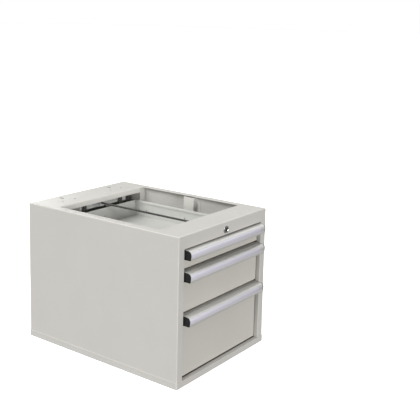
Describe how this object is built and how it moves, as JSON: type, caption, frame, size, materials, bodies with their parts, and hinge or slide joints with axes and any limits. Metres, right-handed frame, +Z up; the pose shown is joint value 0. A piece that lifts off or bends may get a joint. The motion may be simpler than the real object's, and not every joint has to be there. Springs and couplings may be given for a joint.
{
  "type": "under-bench drawer cabinet",
  "caption": "Low steel cabinet with an open top frame, drawers on telescopic slides with full-width label handles, and a central lock.",
  "frame": {"origin": "middle of the flat underside", "axes": "+X to the right seen from the front, +Y from the drawer fronts to the back, +Z up"},
  "size_m": [0.423, 0.5903, 0.416],
  "materials": {
    "casing_paint": "light grey powder coat, satin",
    "front_paint": "light grey powder coat, satin",
    "tray_paint": "light grey powder coat, satin",
    "aluminium": "extruded, natural anodised",
    "label_plastic": "pale lilac label strip under clear film",
    "black_plastic": "fine moulded grain",
    "plug_plastic": "light grey",
    "chrome": "polished",
    "zinc_steel": "bright zinc plated",
    "black_steel": "blackened, lightly oiled"
  },
  "bodies": {
    "casing": {"side_panel_left": "casing_paint", "side_panel_right": "casing_paint", "back_panel": "casing_paint", "bottom_tray": "casing_paint", "front_top_rail": "casing_paint", "rear_top_rail": "casing_paint", "rail_plugs": "plug_plastic", "back_screws": "zinc_steel", "slide_posts_left": "casing_paint", "slide_posts_right": "casing_paint", "lock_barrel": "chrome", "lock_nut": "zinc_steel", "bar_guides": "black_plastic", "rod_bearing": "zinc_steel", "outer_slide_bottom_left": "zinc_steel", "outer_slide_bottom_right": "zinc_steel", "outer_slide_middle_left": "zinc_steel", "outer_slide_middle_right": "zinc_steel", "outer_slide_top_left": "zinc_steel", "outer_slide_top_right": "zinc_steel"},
    "drawer_bottom": {"drawer_front_bottom": "front_paint", "drawer_tray_bottom": "tray_paint", "front_screws_bottom": "zinc_steel", "handle_bottom": "aluminium", "label_strip_bottom": "label_plastic", "tray_ends_bottom": "tray_paint", "end_caps_bottom": "black_plastic", "inner_slide_bottom_left": "zinc_steel", "inner_slide_bottom_right": "zinc_steel", "lock_catch_bottom": "zinc_steel"},
    "slides_bottom": {"floating_slide_bottom_left": "zinc_steel", "floating_slide_bottom_right": "zinc_steel"},
    "drawer_middle": {"drawer_front_middle": "front_paint", "drawer_tray_middle": "tray_paint", "front_screws_middle": "zinc_steel", "handle_middle": "aluminium", "label_strip_middle": "label_plastic", "tray_ends_middle": "tray_paint", "end_caps_middle": "black_plastic", "inner_slide_middle_left": "zinc_steel", "inner_slide_middle_right": "zinc_steel", "lock_catch_middle": "zinc_steel"},
    "slides_middle": {"floating_slide_middle_left": "zinc_steel", "floating_slide_middle_right": "zinc_steel"},
    "drawer_top": {"drawer_front_top": "front_paint", "drawer_tray_top": "tray_paint", "front_screws_top": "zinc_steel", "handle_top": "aluminium", "label_strip_top": "label_plastic", "tray_ends_top": "tray_paint", "end_caps_top": "black_plastic", "inner_slide_top_left": "zinc_steel", "inner_slide_top_right": "zinc_steel", "lock_catch_top": "zinc_steel"},
    "slides_top": {"floating_slide_top_left": "zinc_steel", "floating_slide_top_right": "zinc_steel"},
    "lock_rotor": {"lock_plug": "chrome", "lock_rod": "black_steel", "lock_crank": "zinc_steel"},
    "locking_bar": {"locking_bar": "zinc_steel"}
  },
  "joints": [
    {"name": "drawer_top_slide", "type": "slide", "parent": "casing", "child": "drawer_top", "axis": [0, -1, 0], "range_m": [0, 0.42]},
    {"name": "slides_top_follow", "type": "slide", "parent": "casing", "child": "slides_top", "axis": [0, -1, 0], "range_m": [0, 0.21]},
    {"name": "drawer_middle_slide", "type": "slide", "parent": "casing", "child": "drawer_middle", "axis": [0, -1, 0], "range_m": [0, 0.42]},
    {"name": "slides_middle_follow", "type": "slide", "parent": "casing", "child": "slides_middle", "axis": [0, -1, 0], "range_m": [0, 0.21]},
    {"name": "drawer_bottom_slide", "type": "slide", "parent": "casing", "child": "drawer_bottom", "axis": [0, -1, 0], "range_m": [0, 0.42]},
    {"name": "slides_bottom_follow", "type": "slide", "parent": "casing", "child": "slides_bottom", "axis": [0, -1, 0], "range_m": [0, 0.21]},
    {"name": "lock_turn", "type": "hinge", "parent": "casing", "child": "lock_rotor", "pos_m": [0, 0, 0.3935], "axis": [0, 1, 0], "range_deg": [0, 90]},
    {"name": "locking_bar_shift", "type": "slide", "parent": "casing", "child": "locking_bar", "axis": [-1, 0, 0], "range_m": [0, 0.01202]}
  ],
  "couplings": [
    {"joint": "slides_top_follow", "follows": "drawer_top_slide", "ratio": 0.5},
    {"joint": "slides_middle_follow", "follows": "drawer_middle_slide", "ratio": 0.5},
    {"joint": "slides_bottom_follow", "follows": "drawer_bottom_slide", "ratio": 0.5},
    {"joint": "lock_turn", "follows": "locking_bar_shift", "rad_per_m": 130.67}
  ]
}
